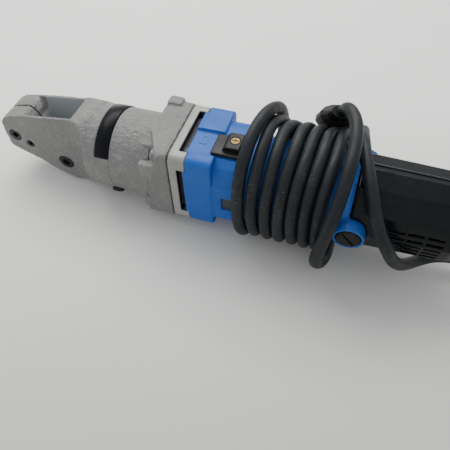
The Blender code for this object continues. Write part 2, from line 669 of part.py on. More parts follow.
def make_brushes(plastic, brass, carbon):
    profile = [(43.6, 0), (43.6, BRUSH_CAP_R), (47.2, BRUSH_CAP_R), (48.2, BRUSH_CAP_R - 1), (48.2, 0)]
    for name, frame in zip(("near", "far"), brush_frames()):
        place(ring(f"brush_holder_{name}", 18, 42.5, 5.6, 8.2, SMALL, brass), frame)
        place(block(f"carbon_brush_{name}", (12.9, -3.4, -3.0), (30, 3.4, 3.0), carbon), frame)
        cap = place(turned(f"brush_cap_{name}", profile, SMALL, plastic), frame)
        slot = block(f"cap_slot_{name}", (46.3, -8.5, -1.1), (50, 8.5, 1.1))
        cut(cap, place(slot, frame @ Matrix.Rotation(CAP_SLOT_TURN, 4, "X")))


def make_stator(look):
    stator = ring("stator", 70, 136, 22.6, 30.4, ROUND, look)
    for side in (-1, 1):
        inner, outer = sorted((side * 28, side * 34.4))
        join(stator, block(f"stator_lug_{side}", (70.5, inner, -5), (135.5, outer, 5)))


def make_armature(steel, copper, core):
    shaft = rod("armature_shaft", -1.5, 193.0, SHAFT_R, SMALL, steel)
    teeth = toothed(PINION_TEETH, 4.0, 4.7, 3.0, math.radians(-90))
    join(shaft, prism("pinion", teeth, "X", -12.8, -1.0))
    ring("armature_core", 72, 134, SHAFT_R + GAP, 21.8, ROUND, core)
    ring("commutator", 151, 172, SHAFT_R + GAP, 12.5, SMALL, copper)


def make_bearings(look):
    ring("front_bearing", 0.4, 5.2, SHAFT_R + GAP, 8.9, SMALL, look)
    ring("rear_bearing", 185, 192.5, SHAFT_R + GAP, 8.9, SMALL, look)


def make_fan(look):
    fan = ring("cooling_fan", 7.0, 8.6, SHAFT_R + GAP, 29.0, ROUND, look)
    join(fan, ring("fan_hub", 8.0, 14.0, SHAFT_R + GAP, 8.0, SMALL))
    builder = bmesh.new()
    for i in range(10):
        angle = math.tau * i / 10
        outline = []
        for radius, offset in ((11, -0.8), (28, -0.8), (28, 0.8), (11, 0.8)):
            y = radius * math.cos(angle) - offset * math.sin(angle)
            z = radius * math.sin(angle) + offset * math.cos(angle)
            outline.append((y, z))
        add_prism(builder, outline, "X", 8.0, 13.6)
    join(fan, to_object("fan_blades", builder))


# ---------------------------------------------------------------- switch

def make_switch(plastic, brass, steel):
    base = block("switch_knob", (33.5, -23.5, CHANNEL_Z + GAP), (61.0, 2.5, 40.2), plastic)
    soften(base, 0.8)
    grip_outline = [(43.0, 38.0), (60.0, 38.0), (60.0, 43.0), (57.5, 45.0), (46.0, 45.0), (43.0, 42.0)]
    grip = prism("switch_grip", grip_outline, "Y", -18.5, 1.5)
    join(base, grip)
    join(base, block("switch_stem", (47, SWITCH_Y - 4, 31.7), (57, SWITCH_Y + 4, 39)))
    cut(base, rod("switch_screw_hole", 36.2, 50, 4.6, SMALL, axis="Z", centre=(52.0, SWITCH_Y + 2.0)))
    profile = [(37.0, 0), (37.0, 4.2), (44.9, 4.2), (45.0, 3.6), (45.0, 0)]
    screw = turned("switch_screw", profile, SMALL, brass, "Z", (52.0, SWITCH_Y + 2.0))
    cut(screw, blocks("switch_screw_cross", [((49.0, SWITCH_Y + 1.4, 43.8), (55.0, SWITCH_Y + 2.6, 47))]))
    block("switch_rod", (47, -13.5, 30.8), (199, -6.5, 31.4), steel)
    block("switch_body", (200, -17, 6), (226, 4, 29.5), plastic)


# ---------------------------------------------------------------- tail

def tail_section(radius):
    points = []
    for angle, share in TAIL_CORNERS:
        turn = math.radians(angle)
        points.append((radius * share * math.cos(turn), radius * share * math.sin(turn)))
    return points


def loft(name, stations, look=None):
    """Skins a stack of equal point-count sections of (x, radius) along X and closes both ends."""
    builder = bmesh.new()
    rings = []
    for x, radius in stations:
        rings.append([builder.verts.new((x, y, z)) for y, z in tail_section(radius)])
    for first, second in zip(rings, rings[1:]):
        for i in range(len(first)):
            j = (i + 1) % len(first)
            builder.faces.new((first[i], first[j], second[j], second[i]))
    builder.faces.new(rings[0])
    builder.faces.new(rings[-1])
    return to_object(name, builder, look)


def make_tail(look):
    start, end = TAIL_X
    outer = [(start, TAIL_R), (246, 37.5), (256, 34.5), (end, 28.2)]
    tail = loft("tail_housing", outer, look)
    soften(tail, 2.5, 2)
    inner = [(start - 5, 36.2), (244, 34.2), (253, 31.5), (end - 4, 25.2)]
    cut(tail, loft("tail_cavity", inner))
    cut(tail, rod("gland_hole", end - 10, end + 5, 7.5, SMALL))
    for side, frame in zip(("near", "far"), brush_frames()):
        cut(tail, place(rod(f"boss_opening_{side}", 28, 60, BOSS_R + GAP, ROUND), frame))
    slots = []
    for column in range(VENT_COLUMNS):
        x = 192.5 + VENT_PITCH[0] * column
        for row in range(VENT_ROWS):
            z = 5.6 - VENT_PITCH[1] * row
            slots.append(((x, -60, z), (x + 14.0, -20, z + 2.8)))
            slots.append(((x, 20, z), (x + 14.0, 60, z + 2.8)))
    cut(tail, blocks("vents", slots))


def make_cord_guard(look):
    bore = CORD_D / 2 + 0.5
    flange = [(251, bore), (251, 10.5), (257.6, 10.5), (257.6, 7.1), (262.4, 7.1), (262.4, 10.6)]
    profile = flange + [(266, 10.2), (280, 8.6), (GUARD_END_X, 7.6), (GUARD_END_X, bore)]
    turned("cord_guard", profile, SMALL, look)


# ---------------------------------------------------------------- mains lead

def make_tube(name, route, radius, look):
    curve = bpy.data.curves.new(name, "CURVE")
    curve.dimensions = "3D"
    curve.bevel_depth = radius * MM
    curve.bevel_resolution = 2
    curve.use_fill_caps = True
    line = curve.splines.new("POLY")
    line.points.add(len(route) - 1)
    for target, (x, y, z) in zip(line.points, route):
        target.co = (x * MM, y * MM, z * MM, 1.0)
    curve.materials.append(look)
    tube = bpy.data.objects.new(name, curve)
    bpy.context.scene.collection.objects.link(tube)
    return tube


def make_cord(look):
    make_tube("cord_lead", LEAD_ROUTE, CORD_D / 2, look)
    make_tube("cord_end", END_ROUTE, CORD_D / 2, look)
    coil = ring("cord_coil", COIL_X[0], COIL_X[1], COIL_R[0], COIL_R[1], ROUND, look)
    keep_common(coil, block("coil_rest", (0, -90, COIL_REST_Z), (200, 90, 90)))


def plug_frame():
    """Frame of the plug with X along it, towards the pins, and Y across its pins."""
    length = Vector(PLUG_AXIS).normalized()
    outward = Vector((0.0, PLUG_PLACE[1], PLUG_PLACE[2]))
    outward = (outward - length * outward.dot(length)).normalized()
    turn = Matrix((length, outward.cross(length), outward)).transposed().to_4x4()
    return Matrix.Translation(Vector(PLUG_PLACE) * MM) @ turn


def make_plug(look, steel):
    frame = plug_frame()
    widen = Matrix.Diagonal((1.0, PLUG_WIDEN, 1.0, 1.0))
    face = PLUG_LENGTH
    tip = face + PIN_LENGTH
    neck = [(0.3, 0), (0.3, 6.0), (11, 6.6)]
    body = neck + [(15, PLUG_R), (face - 5, PLUG_R + 0.5), (face, PLUG_R - 0.8), (face, 0)]
    pin = [(face - 5.5, 0), (face - 5.5, PIN_R), (tip - 1.5, PIN_R), (tip, PIN_R - 0.9), (tip, 0)]
    plug = place(turned("plug_body", body, SMALL, look), frame @ widen)
    for number, side in ((1, -1), (2, 1)):
        centre = (side * PIN_SPACING / 2, 0.0)
        hole = rod(f"pin_hole_{number}", face - 6, face + 5, PIN_R + GAP, SMALL, centre=centre)
        cut(plug, place(hole, frame))
        place(turned(f"plug_pin_{number}", pin, SMALL, steel, centre=centre), frame)


# ---------------------------------------------------------------- assembly

def smooth_meshes():
    for mesh in bpy.data.meshes:
        for face in mesh.polygons:
            face.use_smooth = True


def set_frame():
    """Hangs every part on one empty and moves the middle of the tool to the origin."""
    frame = bpy.data.objects.new("tool_frame", None)
    bpy.context.scene.collection.objects.link(frame)
    for thing in list(bpy.context.scene.collection.objects):
        if thing is not frame:
            thing.parent = frame
    frame.location.x = FRAME_SHIFT * MM


def main():
    clear_scene()
    silver = material("cast_silver", (0.52, 0.53, 0.53), 0.5, 0.6)
    tool_steel = material("tool_steel", (0.4, 0.4, 0.42), 0.3, 1.0)
    dark_screw = material("black_oxide", (0.03, 0.03, 0.03), 0.4, 0.7)
    rubber = material("black_rubber", (0.02, 0.02, 0.02), 0.6)
    gloss_black = material("band_black", (0.01, 0.01, 0.012), 0.25)
    steel = material("ground_steel", (0.55, 0.56, 0.58), 0.28, 1.0)
    pale = material("pale_aluminium", (0.75, 0.74, 0.7), 0.5, 0.3)
    blue = material("motor_blue", (0.03, 0.17, 0.55), 0.45)
    black = material("black_plastic", (0.025, 0.025, 0.027), 0.45)
    brass = material("brass", (0.7, 0.5, 0.2), 0.35, 1.0)
    bronze = material("bronze", (0.55, 0.36, 0.17), 0.4, 1.0)
    copper = material("copper", (0.7, 0.33, 0.18), 0.35, 1.0)
    lamination = material("lamination", (0.25, 0.25, 0.27), 0.5, 0.8)
    carbon = material("carbon", (0.05, 0.05, 0.05), 0.7)
    cord_black = material("cord_black", (0.025, 0.026, 0.028), 0.6)

    make_head_casting(silver)
    make_collar_band(gloss_black)
    make_fixed_blade(tool_steel)
    make_head_screws(dark_screw)
    make_ram(steel)
    make_piston_seal(rubber)
    make_moving_blade(tool_steel)
    make_blade_screw(dark_screw)
    make_return_spring(steel)
    make_pump_casting(silver)
    make_release_knob(dark_screw)
    make_gasket(rubber)
    make_flange_bolts(dark_screw)
    make_pump_set(steel, steel, bronze)
    make_drive_gear(steel)
    make_gear_housing(pale)
    make_fan_shroud(black)
    make_motor_housing(blue)
    make_stator(lamination)
    make_armature(steel, copper, lamination)
    make_bearings(steel)
    make_fan(black)
    make_brushes(black, brass, carbon)
    make_switch(black, brass, steel)
    make_tail(black)
    make_cord_guard(rubber)
    make_cord(cord_black)
    make_plug(rubber, steel)
    smooth_meshes()
    set_frame()


main()
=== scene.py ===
"""Looks of the rebar cutter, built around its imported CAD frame: camera, cord, shells, materials and light."""
import json
import math

import bmesh
import bpy
from mathutils import Matrix, Vector, noise

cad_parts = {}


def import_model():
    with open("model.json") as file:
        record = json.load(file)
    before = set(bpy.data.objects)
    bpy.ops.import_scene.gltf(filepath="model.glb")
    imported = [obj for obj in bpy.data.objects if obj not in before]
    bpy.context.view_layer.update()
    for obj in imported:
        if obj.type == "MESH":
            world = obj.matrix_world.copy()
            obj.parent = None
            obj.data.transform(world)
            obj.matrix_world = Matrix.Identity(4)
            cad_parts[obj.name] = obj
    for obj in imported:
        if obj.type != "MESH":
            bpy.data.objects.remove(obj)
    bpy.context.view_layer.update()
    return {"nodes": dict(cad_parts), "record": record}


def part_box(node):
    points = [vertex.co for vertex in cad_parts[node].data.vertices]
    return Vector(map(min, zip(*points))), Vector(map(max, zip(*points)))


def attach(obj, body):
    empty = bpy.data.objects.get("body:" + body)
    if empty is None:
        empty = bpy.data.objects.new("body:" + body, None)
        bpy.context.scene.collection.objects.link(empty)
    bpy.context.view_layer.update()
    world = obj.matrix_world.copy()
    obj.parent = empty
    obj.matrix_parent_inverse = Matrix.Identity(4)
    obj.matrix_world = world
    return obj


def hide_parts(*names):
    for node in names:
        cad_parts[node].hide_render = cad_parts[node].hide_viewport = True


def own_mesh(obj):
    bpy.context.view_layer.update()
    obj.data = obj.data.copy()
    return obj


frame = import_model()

MM = 0.001
NODES = frame["nodes"]
NOSE_X = -190.0                     # front end of the head on the tool's own grid, whose X is 0 at the gasket
SHIFT_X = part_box("head_casting")[0].x / MM - NOSE_X

# Camera
LENS = 38.6
SENSOR = 36.0
CAMERA_PLACE = (142.7, -308.4, 326.9)              # on the tool's own grid
CAMERA_AZIMUTH = 18.87
CAMERA_ELEVATION = 51.83
CAMERA_ROLL = -1.75

# Table
REST_POINT = (61.6, -54.9)          # X and Z where the wound lead touches the table
TABLE_SLOPE = -0.052                # rise of the table along X: the tool lies a little nose down
TABLE_HALF = 4000.0

# Head and hydraulic casting, in millimetres on the tool's own grid
COLLAR_R = 40.0
HEAD_COLLARS = ((-88, -77), (-76, -61))
CASTING_COLLAR = (-61.5, -31)
FLARE_X = (-119, -79)               # where the head widens into its collar
FLARE_INNER_R = 24
RAM_BORE_R = 15.5
RAM_BORE_X = (-109.0, -84.5)
CYLINDER_BORE_R = 22.4
CYLINDER_BORE_X = (-85.0, -41.0)
WINDOW_HALF = 15.2
WINDOW_X = (-163.0, -104.5)
WINDOW_LIP = 1.2                    # margin beside the window that isn't weathered either
WINDOW_BARE_X = (-152.5, -106.5)    # stretch of the window's walls that is smooth, with a flat grey tone painted for the shade there
BAND_X = (-76.2, -62.5)
BAND_END_Z = 17.3
BAND_CORNER = 0.35
BAND_STEPS = 72
SEAM_X = (-61.8, -60.2)
WEB_LOW = (-31.0, 29.0, -33.0)      # far web; the near one mirrors it
WEB_HIGH = (-12.0, 38.9, 23.0)

# Gasket lip of the gear housing, and the painted shade in its air slots
LIP_X = (-1.0, 0.6)
LIP_INNER = (36.5, 4.0)             # half width of the square and radius of its corners
LIP_OUTER = (39.35, 7.0)
CORNER_STEPS = 6
SLOT_SHADE_OUTER = 38.6                   # the painted shade ends this far from the axis, inside the outer faces
SLOT_HALF = 28.2
SLOT_TOP = 26.2
SLOT_X = (5.8, 20.0)

# Motor housing and tail
MOTOR_R = 38.0
MOTOR_X = (61, 147)
MOTOR_END_R = 39.2
MOTOR_END_X = (148, 160)
FIN_X = (153.2, 157.4)
FIN_R = (38.0, 40.7)
FIN_ANGLES = range(18, 64, 5)       # degrees up from level
PLATE_Y = (36.6, 37.4)
RIDGE_R = 0.9
RIDGE_ENDS = ((166.0, 40.35), (244.0, 38.45))      # X and distance from the axis of the tail's ridges
RIDGE_TILTS = ((5, "top"), (32, "shoulder"))       # degrees down from the top

# Cord guard
GUARD_RIBS = 8
GUARD_RIB_X = 266.0
GUARD_PITCH = 3.1
GUARD_R = 10.0
GUARD_TAPER = 0.31                  # loss of radius from one rib to the next

# Mains lead, repeated from the CAD
CORD_D = 11.0
COIL_R = 50.65
COIL_FLOOR = -49.3                  # Z of the turns where they lie on the table
COIL_STEP = 20                      # degrees between two points of a turn
COIL_WAVER = 0.3
LOOSE_R = 54.6                      # radius of the last turn where it rises onto the others
FIRST_LIFT = 4.6                    # the first turn rides up on the loop of the lead at the top
LEAD_ROUTE = (
    # behind the guard and back under the tail
    (292.3, 0, 0), (306, 0, 0), (320, 0.5, -3), (332, 1.5, -12), (337.5, 3, -24.5), (334, 4, -37),
    (323, 4, -46), (309, 3, -50.5), (294, 1, -51.5), (279, -1, -51.5), (264, -3, -51), (246, -8, -50),
    # up the near side and over the top
    (233, -17, -47.5), (222.5, -28.5, -41), (213.5, -39.5, -31.5), (206, -48, -19.5), (199.5, -54, -6),
    (193.5, -56.5, 7), (186.5, -54.5, 17.5), (179, -47, 29.5), (172.5, -34.5, 40.5), (165.5, -18, 48.7),
    (160, 0, 51.6), (157, 18, 49.5), (156, 34, 42.5), (155.5, 48.5, 34), (154.5, 58, 22),
    # forward along the far side
    (153, 64.4, 8.5), (150.5, 67, -5), (144.5, 67.2, -15.5), (134.5, 66, -22), (122, 65, -26),
    (108, 64, -29.5), (95, 61.5, -34), (84, 56, -39.5), (76, 47.5, -44.8), (70.2, 37, -48.8),
    # the slanted first loop
    (69, 24, -49.3), (68.7, 10, -49.3), (68.8, -4, -49.3), (69, -17.5, -48.5), (69, -31, -42.5),
    (68.8, -41.5, -32), (68.1, -49, -18), (67, -51.5, -2.5), (66.1, -50.2, 13), (65.5, -45, 28),
    (65.6, -37, 41.8), (66.8, -25, 53.4), (68.6, -11, 60.6), (71.2, 4, 63.6), (74.6, 18.5, 62),
    (77.4, 31.5, 56), (79.2, 43, 46.8), (80.2, 52.5, 34), (80.5, 59, 20), (80.5, 62, 4.5),
)
END_ROUTE = (                       # the loose last loop, up to the plug
    (148.8, 54.6, 2), (148.8, 53.5, -13), (148.8, 45.5, -28), (148.8, 32, -40.5), (148.8, 16, -48),
    (148.8, -1, -49.5), (148.8, -17.5, -49.5), (148.6, -33.5, -48.5), (145.6, -48, -43.5),
    (141.6, -57.5, -33.5), (140.4, -63, -20), (142, -63.8, -4), (144.5, -61, 13), (147.3, -53, 31.2),
    (149.3, -41, 46.5), (150.3, -26.5, 57), (150.6, -10.5, 63), (149.4, 5, 66.8), (146, 18, 69.2),
    (141.3, 27.6, 69), (137.6, 34, 66), (135.4, 38.135, 60.887), (134.5, 40.7, 57.3),
)
TURN_X = (                          # centre of each turn at the bottom, low on the near side and at the top
    (80.6, 77.3, 78.7), (92.3, 89.6, 90.4), (103.6, 101.8, 104.4),
    (115.4, 112.9, 116.0), (126.6, 124.0, 127.6), (137.4, 135.1, 138.9),
)


def world(x, y, z):
    """A point of the tool's own millimetre grid in the frame's metres."""
    return Vector(((x + SHIFT_X) * MM, y * MM, z * MM))


def add(name, mesh):
    made = bpy.data.objects.new(name, mesh)
    bpy.context.scene.collection.objects.link(made)
    return made


# ---------------------------------------------------------------- camera, floor and light

def make_camera():
    """Stands above the near side of the motor and looks down across the tool, a little towards its nose."""
    azimuth = math.radians(CAMERA_AZIMUTH)
    elevation = math.radians(CAMERA_ELEVATION)
    level = math.cos(elevation)
    forward = Vector((-math.sin(azimuth) * level, math.cos(azimuth) * level, -math.sin(elevation)))
    right = forward.cross(Vector((0, 0, 1))).normalized()
    up = right.cross(forward)
    turn = Matrix((right, up, -forward)).transposed().to_4x4()
    data = bpy.data.cameras.new("camera")
    data.lens = LENS
    data.sensor_width = SENSOR
    data.clip_start = 0.01
    camera = add("camera", data)
    roll = Matrix.Rotation(math.radians(CAMERA_ROLL), 4, "Z")
    camera.matrix_world = Matrix.Translation(world(*CAMERA_PLACE)) @ turn @ roll
    bpy.context.scene.camera = camera


def area_light(name, place, target, size, power, colour):
    data = bpy.data.lights.new(name, "AREA")
    data.shape = "RECTANGLE"
    data.size, data.size_y = size
    data.energy = power
    data.color = colour
    light = add(name, data)
    light.location = place
    light.rotation_euler = (Vector(target) - Vector(place)).to_track_quat("-Z", "Y").to_euler()


def make_light():
    """A wide soft panel and a thin strip from the far side, under an even sky."""
    area_light("sky_panel", place=(-0.5, 0.8, 1.3), target=(-0.05, 0.2, 0.0), size=(1.8, 0.9), power=29.0,
               colour=(1.0, 0.99, 0.965))
    area_light("strip", place=(0.0, 0.75, 0.75), target=(0.0, 0.0, 0.0), size=(1.6, 0.06), power=2.2,
               colour=(1.0, 0.99, 0.97))
    sky = bpy.data.worlds.new("studio")
    bpy.context.scene.world = sky
    sky.use_nodes = True
    background = sky.node_tree.nodes["Background"]
    background.inputs["Color"].default_value = (0.93, 0.94, 0.95, 1.0)
    background.inputs["Strength"].default_value = 0.8


def make_floor():
    """A pale table that the tool lies on, sloped because the tool's own grid is level."""
    builder = bmesh.new()
    rest_x, rest_z = REST_POINT
    corners = []
    for side_x, side_y in ((-1, -1), (1, -1), (1, 1), (-1, 1)):
        x = side_x * TABLE_HALF
        corners.append(builder.verts.new(world(x, side_y * TABLE_HALF, rest_z + TABLE_SLOPE * (x - rest_x))))
    builder.faces.new(corners)
    mesh = bpy.data.meshes.new("floor")
    builder.to_mesh(mesh)
    builder.free()
    mesh.materials.append(MATERIALS["floor"])
    add("floor", mesh)


# ---------------------------------------------------------------- materials

class Look:
    """Builds one Principled material from small node steps."""

    def __init__(self, name):
        self.material = bpy.data.materials.new(name)
        self.material.use_nodes = True
        self.tree = self.material.node_tree
        self.shader = self.tree.nodes["Principled BSDF"]
        self.place = self.tree.nodes.new("ShaderNodeTexCoord").outputs["Object"]
        self.normal = None

    def plug(self, socket, value):
        if isinstance(value, bpy.types.NodeSocket):
            self.tree.links.new(value, socket)
        elif isinstance(value, tuple):
            socket.default_value = (*value, 1.0)
        else:
            socket.default_value = value

    def set(self, **values):
        for name, value in values.items():
            self.plug(self.shader.inputs[name.replace("_", " ")], value)

    def stretched(self, *scale):
        node = self.tree.nodes.new("ShaderNodeMapping")
        node.inputs["Scale"].default_value = scale
        self.plug(node.inputs["Vector"], self.place)
        return node.outputs["Vector"]

    def noise(self, scale, detail=4.0, rough=0.55, where=None):
        node = self.tree.nodes.new("ShaderNodeTexNoise")
        node.inputs["Scale"].default_value = scale
        node.inputs["Detail"].default_value = detail
        node.inputs["Roughness"].default_value = rough
        self.plug(node.inputs["Vector"], where or self.place)
        return node.outputs["Fac"]

    def range(self, value, low, high, first=0.0, second=1.0):
        node = self.tree.nodes.new("ShaderNodeMapRange")
        self.plug(node.inputs["Value"], value)
        self.plug(node.inputs["From Min"], low)
        self.plug(node.inputs["From Max"], high)
        self.plug(node.inputs["To Min"], first)
        self.plug(node.inputs["To Max"], second)
        return node.outputs["Result"]

    def math(self, operation, first, second=0.0):
        node = self.tree.nodes.new("ShaderNodeMath")
        node.operation = operation
        self.plug(node.inputs[0], first)
        self.plug(node.inputs[1], second)
        return node.outputs[0]

    def mix(self, factor, first, second):
        node = self.tree.nodes.new("ShaderNodeMix")
        node.data_type = "RGBA"
        self.plug(node.inputs[0], factor)
        self.plug(node.inputs[6], first)
        self.plug(node.inputs[7], second)
        return node.outputs[2]

    def bump(self, height, distance, strength):
        node = self.tree.nodes.new("ShaderNodeBump")
        node.inputs["Distance"].default_value = distance
        self.plug(node.inputs["Strength"], strength)
        self.plug(node.inputs["Height"], height)
        if self.normal is not None:
            self.plug(node.inputs["Normal"], self.normal)
        self.normal = node.outputs["Normal"]
        self.set(Normal=self.normal)

    def edge(self, low=0.52, high=0.6):
        """1 on outer edges and corners of a dense mesh."""
        point = self.tree.nodes.new("ShaderNodeNewGeometry").outputs["Pointiness"]
        return self.range(point, low, high)

    def within(self, axis, low, high, soft=0.3):
        """1 where a coordinate, in millimetres of the tool's grid, is between low and high."""
        split = self.tree.nodes.new("ShaderNodeSeparateXYZ")
        self.plug(split.inputs[0], self.place)
        value = split.outputs[axis]
        shift = SHIFT_X if axis == 0 else 0.0
        above = self.range(value, (low + shift - soft) * MM, (low + shift + soft) * MM)
        below = self.range(value, (high + shift - soft) * MM, (high + shift + soft) * MM, 1.0, 0.0)
        return self.math("MULTIPLY", above, below)


def plain(name, colour, worn, roughness, metallic=0.0, grain=900.0, depth=0.0001, specular=0.5, edge=None):
    """A worn surface: patchy colour, patchy gloss, fine grain and rubbed edges."""
    look = Look(name)
    patches = look.noise(35.0, 6.0, 0.6)
    base = look.mix(look.range(patches, 0.38, 0.72, 0.0, 0.6), colour, worn)
    if edge:
        rubbed = look.math("MULTIPLY", look.edge(), look.range(look.noise(220.0), 0.35, 0.65, 0.1, 0.8))
        base = look.mix(rubbed, base, edge)
    look.set(Base_Color=base, Metallic=metallic, Specular_IOR_Level=specular)
    look.set(Roughness=look.range(look.noise(80.5, 5.0), 0.3, 0.7, *roughness))
    look.bump(look.noise(grain, 3.0, 0.6), depth, 0.6)
    look.bump(look.noise(grain * 0.12, 3.0), depth * 2.0, 0.25)
    return look.material


def silver_paint():
    """Silver paint over a rough sand casting, with painted highlights and glints on its grain, smooth inside
    the jaw window, where a flat grey tone is painted for the shade that falls there.
    """
    look = Look("silver_paint")
    coarse = look.noise(260.0, 6.0, 0.66)
    drawn = look.noise(200.0, 5.0, 0.7, look.stretched(0.4, 1.7, 1.0))
    fine = look.noise(1500.0, 3.0, 0.6)
    patches = look.noise(24.0, 5.0, 0.6)
    half = WINDOW_HALF + 0.4
    inside = look.math("MULTIPLY", look.within(1, -half, half), look.within(0, *WINDOW_BARE_X))
    rough = look.range(inside, 0.0, 1.0, 1.0, 0.12)
    base = look.mix(look.range(patches, 0.35, 0.7), (0.19, 0.193, 0.189), (0.22, 0.223, 0.217))
    # painted shade: darker in the hollows of the coarse bump
    base = look.mix(look.range(coarse, 0.55, 0.38, 0.0, 0.3), base, (0.13, 0.132, 0.13))
    # painted highlight: lighter streaks along the drawn marks of the casting
    streaks = look.range(drawn, 0.45, 0.6)
    painted_streak_highlight = look.math("MULTIPLY", look.range(look.noise(38.0, 7.0, 0.7), 0.52, 0.68), streaks)
    painted_streak_highlight = look.math("MULTIPLY", painted_streak_highlight, look.math("MULTIPLY", rough, 0.45))
    base = look.mix(painted_streak_highlight, base, (0.42, 0.42, 0.41))
    # painted glints: light specks of the fine grain, which are also made a little glossier
    specks = look.math("MULTIPLY", look.range(fine, 0.56, 0.66), look.math("MULTIPLY", rough, 0.75))
    base = look.mix(specks, base, (0.5, 0.5, 0.49))
    # painted highlight along edges and corners
    base = look.mix(look.math("MULTIPLY", look.edge(0.52, 0.58), 0.35), base, (0.44, 0.44, 0.43))
    # painted shade: the jaw window's smooth walls get a flat grey tone set for the shade inside the window
    base = look.mix(inside, base, (0.42, 0.45, 0.46))
    look.set(Base_Color=base, Metallic=0.25, Specular_IOR_Level=0.4)
    gloss = look.range(coarse, 0.35, 0.7, 0.36, 0.6)
    look.set(Roughness=look.math("SUBTRACT", gloss, look.math("MULTIPLY", specks, 0.25)))
    look.bump(coarse, 0.0017, look.math("MULTIPLY", rough, 0.85))
    look.bump(drawn, 0.0014, look.math("MULTIPLY", rough, 0.65))
    look.bump(fine, 0.0003, look.math("MULTIPLY", rough, 0.8))
    return look.material


def blue_plastic():
    """Moulded glass-filled nylon with scuffs, grime and rubbed edges."""
    look = Look("blue_plastic")
    patches = look.noise(30.0, 6.0, 0.6)
    base = look.mix(look.range(patches, 0.38, 0.7), (0.011, 0.1, 0.44), (0.018, 0.12, 0.47))
    grime = look.range(look.noise(55.0, 7.0, 0.7), 0.58, 0.75, 0.0, 0.45)
    base = look.mix(grime, base, (0.012, 0.055, 0.2))
    rubbed = look.math("MULTIPLY", look.edge(), look.range(look.noise(260.0), 0.4, 0.62, 0.15, 0.75))
    base = look.mix(rubbed, base, (0.12, 0.3, 0.62))
    nicks = look.range(look.noise(420.0, 2.0, 0.4, look.stretched(1.0, 0.25, 1.0)), 0.74, 0.79)
    base = look.mix(look.math("MULTIPLY", nicks, 0.5), base, (0.25, 0.42, 0.7))
    look.set(Base_Color=base, Specular_IOR_Level=0.26)
    look.set(Roughness=look.range(look.noise(80.0, 5.0), 0.3, 0.7, 0.36, 0.52))
    look.bump(look.noise(1500.0, 2.0), 0.00008, 0.6)
    look.bump(look.noise(120.0, 3.0), 0.0002, 0.2)
    return look.material


def cord_rubber():
    """Matt rubber sheath with scuffs, dust and small abraded specks."""
    look = Look("cord_rubber")
    patches = look.range(look.noise(45.0, 6.0, 0.65), 0.4, 0.72, 0.0, 0.8)
    base = look.mix(patches, (0.008, 0.0103, 0.0135), (0.0165, 0.0205, 0.025))
    dust = look.range(look.noise(160.0, 7.0, 0.75), 0.56, 0.74, 0.0, 0.35)
    base = look.mix(dust, base, (0.045, 0.049, 0.052))
    abraded = look.range(look.noise(26.0), 0.5, 0.62)
    specks = look.math("MULTIPLY", look.range(look.noise(1000.0, 3.0), 0.6, 0.66), abraded)
    base = look.mix(look.math("MULTIPLY", specks, 0.45), base, (0.2, 0.21, 0.21))
    look.set(Base_Color=base, Specular_IOR_Level=0.3)
    look.set(Roughness=look.range(look.noise(70.0, 5.0), 0.3, 0.7, 0.42, 0.62))
    look.bump(look.noise(700.0, 3.0), 0.00018, 0.5)
    look.bump(look.noise(110.0, 4.0), 0.0004, 0.3)
    return look.material


def tail_plastic():
    """Smooth black nylon, greasy in places."""
    look = Look("tail_plastic")
    patches = look.range(look.noise(32.0, 6.0, 0.65), 0.4, 0.7)
    base = look.mix(patches, (0.0035, 0.0045, 0.006), (0.0075, 0.009, 0.011))
    scuffs = look.range(look.noise(90.0, 8.0, 0.75, look.stretched(0.4, 1.0, 1.6)), 0.6, 0.75, 0.0, 0.4)
    base = look.mix(scuffs, base, (0.03, 0.032, 0.035))
    rubbed = look.math("MULTIPLY", look.edge(), look.range(look.noise(240.0), 0.4, 0.62, 0.1, 0.6))
    base = look.mix(rubbed, base, (0.09, 0.093, 0.1))
    look.set(Base_Color=base, Specular_IOR_Level=0.2)
    look.set(Roughness=look.range(look.noise(50.0, 5.0), 0.3, 0.7, 0.2, 0.34))
    look.bump(look.noise(1300.0, 2.0), 0.00006, 0.6)
    look.bump(look.noise(60.0, 3.0), 0.0004, 0.2)
    return look.material


def pale_aluminium():
    """Bare die casting, with painted shade darkening the walls inside the air slots."""
    look = Look("pale_aluminium")
    patches = look.range(look.noise(35.0, 6.0, 0.6), 0.38, 0.72)
    base = look.mix(patches, (0.36, 0.355, 0.335), (0.28, 0.275, 0.26))
    inner_y, inner_z = (look.within(axis, -SLOT_SHADE_OUTER, SLOT_SHADE_OUTER) for axis in (1, 2))
    slots = look.math("MAXIMUM", look.within(1, -SLOT_HALF, SLOT_HALF), look.within(2, -SLOT_HALF, SLOT_TOP))
    # painted shade: the walls inside the air slots are coloured near black, as the deep slots look in shade
    slot_shade = look.math("MULTIPLY", look.math("MULTIPLY", inner_y, inner_z), slots)
    slot_shade = look.math("MULTIPLY", slot_shade, look.within(0, *SLOT_X))
    base = look.mix(slot_shade, base, (0.012, 0.012, 0.013))
    rubbed = look.math("MULTIPLY", look.edge(), look.range(look.noise(220.0), 0.35, 0.65, 0.1, 0.7))
    base = look.mix(rubbed, base, (0.5, 0.49, 0.47))
    look.set(Base_Color=base, Metallic=look.range(slot_shade, 0.0, 1.0, 0.2, 0.0), Specular_IOR_Level=0.35)
    look.set(Roughness=look.range(look.noise(80.0, 5.0), 0.3, 0.7, 0.42, 0.6))
    look.bump(look.noise(800.0, 3.0), 0.00012, 0.6)
    look.bump(look.noise(110.0, 3.0), 0.0003, 0.3)
    return look.material


